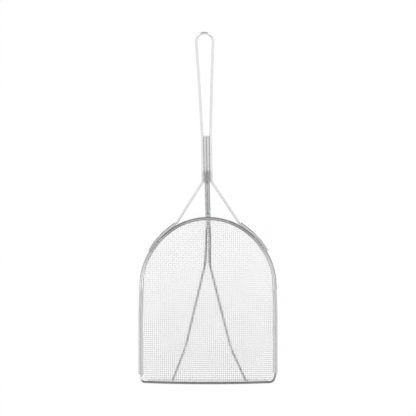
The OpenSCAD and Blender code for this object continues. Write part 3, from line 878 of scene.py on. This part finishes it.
def mesh_warps(name, wires):
    """Wires that run from front to back, hooked under the front bar."""
    soup = Soup()
    hem = hem_path()
    for i in wires:
        x = (i + 0.5) * WARP_PITCH
        start = front_y(x)
        hooked = abs(x) < HOOK_X
        y0 = start + (hem[-1][1] if hooked else WARP_BARE_END)
        y1 = top_y(x, MESH_END)
        y = np.linspace(y0, y1, max(8, round((y1 - y0) / (WEFT_PITCH / 4))))
        line = woven(np.full_like(y, x), y, warp_lift(y, i))
        if hooked:
            front = hem[:-1] + np.array([x, start, RIM_Z])
            normal = np.cross(X_AXIS, np.gradient(hem, axis=0))
            normal /= np.linalg.norm(normal, axis=1, keepdims=True)
            s = lengths(hem)
            lift = warp_lift((s - s[-1]) + y0, i)
            line = np.concatenate([front + normal[:-1] * lift[:-1, None], line])
        mesh_wire(soup, line, X_AXIS)
    return soup.object(name)


def mesh_wefts(name, wires, hooked=False):
    """Wires that run from side to side, with those of the hooked edge where it is asked for."""
    soup = Soup()
    for j in wires:
        y = WEFT_0 + j * WEFT_PITCH
        b = side_at(y, MESH_END if y > BAND_END else WEFT_BARE_END)
        if y < front_y(CORNER_X) + CORNER_ROWS:
            b = min(b, CORNER_X - CORNER_CUT)
        x = weft_places(b)
        mesh_wire(soup, woven(x, np.full_like(x, y), weft_lift(x, j)), Y_AXIS)
    if hooked:
        hem_wefts(soup)
    return soup.object(name)


def hem_wefts(soup):
    """The two wires that go on with the wefts round the hooked edge."""
    hem = hem_path()
    s = lengths(hem)
    step = 0.1 * MM
    for j in (-2, -1):
        at = s[-1] + (j * WEFT_PITCH + WEFT_0) - (RIM_R + hem[-1][1])
        dy, dz = np.interp(at, s, hem[:, 1]), np.interp(at, s, hem[:, 2])
        ty = np.interp(at + step, s, hem[:, 1]) - dy
        tz = np.interp(at + step, s, hem[:, 2]) - dz
        long = math.hypot(ty, tz)
        x = weft_places(HOOK_X - 0.4 * MM)
        lift = weft_lift(x, j)
        line = np.stack([x, bar_y(x) + dy - lift * tz / long, RIM_Z + dz + lift * ty / long], -1)
        mesh_wire(soup, line, (0, 1, 0.01))


def mesh_hem():
    """The folded edge of the mesh, a second layer on the ramp just behind the front bar. Its
    warps lie between those of the net, and it has one weft."""
    soup = Soup()
    layer = 2 * (MESH_R + WEAVE) + 0.03 * MM
    near, far, weft_behind = 2.0 * MM, 4.0 * MM, 1.2 * WEFT_PITCH
    for i in WARPS:
        x = (i + 1) * WARP_PITCH
        if abs(x) > HOOK_X:
            continue
        start = float(bar_y(x))
        y = np.linspace(start + near, start + far, 8)
        lift = layer + WEAVE * np.cos(math.pi * ((y - start) / WEFT_PITCH + i))
        mesh_wire(soup, woven(np.full_like(y, x), y, lift), X_AXIS)
    x = weft_places(HOOK_X - 0.8 * MM)
    lift = layer - WEAVE * np.cos(math.pi * (x / WARP_PITCH))
    mesh_wire(soup, woven(x, bar_y(x) + weft_behind, lift), Y_AXIS)
    return soup.object("mesh_hem")


# ---------------------------------------------------------------- welds
def bead(soup, centre, axes, sizes, seed, lump):
    """A blob of weld metal: an ellipsoid made lumpy by slow waves, with fine ripples round it."""
    sides, pole, waves, slow, ripple, turn = 26, 0.02, 5, 5, 16, 6.28
    rng = np.random.default_rng(seed)
    lat = np.linspace(pole, math.pi - pole, sides // 2)
    lon = 2 * math.pi * np.arange(sides) / sides
    th, ph = np.meshgrid(lat, lon, indexing="ij")
    d = np.stack([np.sin(th) * np.cos(ph), np.sin(th) * np.sin(ph), np.cos(th)], -1)
    r = np.ones(th.shape)
    for _ in range(waves):
        k = rng.normal(size=3)
        k /= np.linalg.norm(k)
        r += lump / 2 * np.sin(slow * (d @ k) + rng.uniform(0, turn))
    r += 0.03 * np.sin(ripple * d[..., 2] + rng.uniform(0, turn))
    local = d * r[..., None] * np.array(sizes)
    points = np.array(centre) + local @ np.array(axes)
    soup.grid(points, np.linspace(0, 4 * MM, len(lat)), np.linspace(0, 1, sides + 1))
    soup.cap(points[0], True)
    soup.cap(points[-1], False)


def bundle_weld():
    """Weld metal run into the grooves between the four wires, on both faces. It thins out
    towards the handle's end."""
    soup = Soup()
    up = np.array(HANDLE_UP)
    axes = [X_AXIS, up, np.cross(up, X_AXIS)]
    beads, start, depth, seed = 6, 1.6 * MM, 0.84 * MM, 20
    for groove in (-2, 0, 2):
        for face in (-1, 1):
            for k in range(beads):
                s = BUNDLE_LOW + start + WELD_LEN * (k + 0.5) / beads
                fill = 1 - 0.09 * k - 0.02 * ((groove + face * k) % 3)
                centre = np.array(on_handle(groove * INNER_X, s)) + up * face * depth * (0.4 + 0.6 * fill)
                bead(soup, centre, axes, np.array([0.72 * fill, 0.52 * fill, 1.9]) * MM, seed, lump=0.07)
                seed += 1
    return soup.object("bundle_weld")


def foot_weld(side):
    """Beads between the foot and the band, above and below where the two touch."""
    soup = Soup()
    flip, size = np.array([side, 1, 1]), np.array([1.0, 0.95, 2.3]) * MM
    gap, apart = 0.1 * MM, 0.85 * MM
    for k, t in enumerate(FOOT_WELDS):
        foot = foot_point(t, side)
        outward = np.array([math.cos(t), math.sin(t), 0])
        band = foot + outward * float(from_rim(foot[0], foot[1]))
        band[2] = RIM_Z
        d = (foot - band) / np.linalg.norm(foot - band)
        u = np.array([-math.sin(t), math.cos(t), 0])
        v = np.cross(u, d)
        touch = band + d * (BAND_R + gap)
        axes = np.array([d, v, u]) * flip
        for j, up in enumerate((-1, 1)):
            bead(soup, (touch + v * up * apart) * flip, axes, size, seed=60 + 4 * k + j + side, lump=0.05)
    return soup.object("foot_weld_right" if side > 0 else "foot_weld_left")


def rear_weld():
    """Where the under wires cross below the band: two beads to a wire, and one more on top of
    it, behind the band."""
    soup = Soup()
    d = np.array([0, math.sin(REAR_A), -math.cos(REAR_A)])
    v = np.array([0, math.cos(REAR_A), math.sin(REAR_A)])
    for k, x in enumerate((-INNER_X, INNER_X)):
        touch = np.array([x, APEX_Y, RIM_Z]) + d * (BAND_R + 0.05 * MM)
        for j, up in enumerate((1, -1)):
            at = touch + v * (up * 0.7 - 1.6) * MM
            bead(soup, at, [X_AXIS, d, v], np.array([1.0, 0.55, 0.75]) * MM, seed=80 + 2 * k + j, lump=0.08)
        top = np.array([x * 0.72, APEX_Y + 3.3 * MM, RIM_Z + 1.25 * MM])
        bead(soup, top, np.eye(3), np.array([1.4, 2.1, 0.95]) * MM, seed=84 + k, lump=0.06)
    return soup.object("rear_weld")


def front_weld(side):
    """A round blob on the left wire's end and a two-lobed one on the right wire's end."""
    soup = Soup()
    toe, end = np.array(toe_and_tip(side))
    u = (end - toe) / np.linalg.norm(end - toe)
    tip = (end + u * 0.1 * MM + np.array([0.1, 0.0, 0.5]) * MM) * np.array([side, 1, 1])
    bead(soup, tip, np.eye(3), np.array([1.4, 1.25, 1.4]) * MM, seed=90 + side, lump=0.14)
    if side > 0:
        lobe = tip + np.array([2.2, 0.1, 0.4]) * MM
        bead(soup, lobe, np.eye(3), np.array([1.1, 1.0, 0.95]) * MM, seed=95, lump=0.16)
    return soup.object("front_weld_right" if side > 0 else "front_weld_left")


# ---------------------------------------------------------------- the object
# wire_steel's marked colour is for weld dullness and the painted shade on the feet
wire_steel = steel("wire_steel", grey(0.81, 0.004), grey(0.73, 0.004), (0.14, 0.26), marked=grey(0.32))
# under_steel's near-black marked colour is for painted shade and dark reflections, and for weld dullness
under_steel = steel(
    "under_steel", grey(0.84, 0.003), grey(0.73, 0.003), (0.26, 0.40), marked=grey(0.05), metal=0.74)
# rim_steel is a darker copy of the steel, a painted dark reflection; its light marked colour is a painted
# highlight
rim_steel = steel("rim_steel", grey(0.30, 0.003), grey(0.24, 0.003), (0.20, 0.36), marked=grey(0.72))
# band_steel's marked colour is for weld dullness and painted shade
band_steel = steel(
    "band_steel", grey(0.60, 0.003), grey(0.51, 0.003), (0.18, 0.34), streak=1.4, marked=grey(0.26))
mesh_steel = steel("mesh_steel", grey(0.95), grey(0.88), (0.28, 0.42), marked=grey(0.68), metal=0.8)
weld_steel = steel("weld_steel", grey(0.54), grey(0.44), (0.35, 0.55), streak=2.0)

NET_NODES = sorted(n for n in frame["nodes"] if n.startswith("net_"))
finish_piece(handle(), wire_steel, "wire_steel", "handle_wire", mark=mark_near(HANDLE_MARKS))
finish_piece(under_wire(-1), under_steel, "under_steel", "under_wire_left", mark=mark_under)
finish_piece(under_wire(1), under_steel, "under_steel", "under_wire_right", mark=mark_under)
finish_piece(rim_wire(), rim_steel, "rim_steel", "rim_wire", mark=mark_near(RIM_MARKS))
finish_piece(rim_band(), band_steel, "band_steel", "rim_band", mark=mark_near(BAND_MARKS))
for part in (
    mesh_warps("mesh_warps_left", WARPS[WARPS < 0]),
    mesh_warps("mesh_warps_right", WARPS[WARPS >= 0]),
    mesh_wefts("mesh_wefts_front", WEFTS[:len(WEFTS) // 2], hooked=True),
    mesh_wefts("mesh_wefts_rear", WEFTS[len(WEFTS) // 2:]),
):
    finish_piece(part, mesh_steel, "mesh_steel", *NET_NODES, mark=mark_front)
finish_piece(mesh_hem(), mesh_steel, "mesh_steel", "front_hem")
finish_piece(bundle_weld(), weld_steel, "weld_steel", "bundle_weld")
finish_piece(foot_weld(-1), weld_steel, "weld_steel", "foot_weld_left")
finish_piece(foot_weld(1), weld_steel, "weld_steel", "foot_weld_right")
finish_piece(rear_weld(), weld_steel, "weld_steel", "rear_weld")
finish_piece(front_weld(-1), weld_steel, "weld_steel", "front_weld_left")
finish_piece(front_weld(1), weld_steel, "weld_steel", "front_weld_right")


# ---------------------------------------------------------------- stage
def shown_rays(tree):
    """1 for camera, glossy and transmission rays, and 0 for the rays that light things."""
    path = tree.nodes.new("ShaderNodeLightPath")
    value = path.outputs["Is Camera Ray"]
    for name in ("Is Glossy Ray", "Is Transmission Ray"):
        most = tree.nodes.new("ShaderNodeMath")
        most.operation = "MAXIMUM"
        tree.links.new(value, most.inputs[0])
        tree.links.new(path.outputs[name], most.inputs[1])
        value = most.outputs[0]
    return value


def sheet(name, x, y, z, material, faces_down=False):
    """A flat rectangle of the studio."""
    mesh = bpy.data.meshes.new(name)
    corners = [(x[0], y[0], z), (x[1], y[0], z), (x[1], y[1], z), (x[0], y[1], z)]
    mesh.from_pydata(corners, [], [(0, 3, 2, 1) if faces_down else (0, 1, 2, 3)])
    mesh.materials.append(material)
    made = new_object(name, mesh)
    return made


def card(name, x, y, z, tone):
    """A flat card above the part that shows in the metal only."""
    m = Nodes(name)
    m.tree.nodes.remove(m.shader)
    light = m.node("ShaderNodeEmission", Color=(tone, tone, tone, 1), Strength=1.0)
    m.link(light.outputs[0], m.tree.nodes["Material Output"].inputs["Surface"])
    made = sheet(name, x, y, z, m.material, faces_down=True)
    made.visible_camera = False
    made.visible_diffuse = False
    made.visible_shadow = False
    made.visible_transmission = False


def floor():
    """A plain pale floor just below the part. It looks nearly white, whatever light falls on it,
    but for soft shadows."""
    half, below = 30.0, 0.2 * MM
    m = Nodes("floor")
    m.shader.inputs["Base Color"].default_value = (0.93, 0.93, 0.93, 1)
    m.shader.inputs["Roughness"].default_value = 0.9
    m.shader.inputs["Specular IOR Level"].default_value = 0.0
    white = m.node("ShaderNodeEmission", Strength=1.0)
    mix = m.node("ShaderNodeMixShader")
    m.link(m.math("MULTIPLY", shown_rays(m.tree), 0.93), mix.inputs[0])
    m.link(m.shader.outputs[0], mix.inputs[1])
    m.link(white.outputs[0], mix.inputs[2])
    m.link(mix.outputs[0], m.tree.nodes["Material Output"].inputs["Surface"])
    sheet("floor", (-half, half), (-half, half), -below, m.material)


def lamp(name, place, aim, size, power):
    data = bpy.data.lights.new(name, "AREA")
    data.shape = "RECTANGLE"
    data.size, data.size_y = size
    data.energy = power
    made = new_object(name, data)
    made.location = place
    direction = np.array(aim, float) - np.array(place, float)
    made.rotation_euler = Vector(direction).to_track_quat("-Z", "Y").to_euler()


def world():
    made = bpy.data.worlds.new("studio")
    bpy.context.scene.world = made
    made.use_nodes = True
    tree = made.node_tree
    ground = tree.nodes["Background"]
    ground.inputs["Color"].default_value = (1, 1, 1, 1)
    level = tree.nodes.new("ShaderNodeMapRange")
    level.inputs["To Min"].default_value = 0.95
    level.inputs["To Max"].default_value = 1.0
    tree.links.new(shown_rays(tree), level.inputs["Value"])
    tree.links.new(level.outputs["Result"], ground.inputs["Strength"])


def camera():
    """Above the net, a little to its right, and so far off that the view is nearly flat."""
    aim_y, right, far = 3.3 * MM, 117 * MM, 6.0
    data = bpy.data.cameras.new("camera")
    data.lens, data.sensor_width = 480.8, 36.0
    data.clip_start, data.clip_end = 0.1, 100.0
    made = new_object("camera", data)
    made.location = (right, aim_y, RIM_Z + far)
    made.rotation_euler = (0, math.atan2(right, far), 0)
    bpy.context.scene.camera = made


floor()
world()
camera()
card("flag_rear", x=(-4.0, 4.0), y=(1.06, 6.0), z=2.0, tone=0.08)
card("flag_front", x=(-4.0, 4.0), y=(-6.0, -1.06), z=2.0, tone=0.40)
lamp("softbox_left", place=(-1.3, -0.3, 1.0), aim=(0, 0, 0.05), size=(1.2, 1.2), power=4.5)
lamp("softbox_right", place=(1.3, 0.2, 1.0), aim=(0, 0, 0.05), size=(1.2, 1.2), power=4.5)
bpy.context.scene.view_settings.view_transform = "Standard"
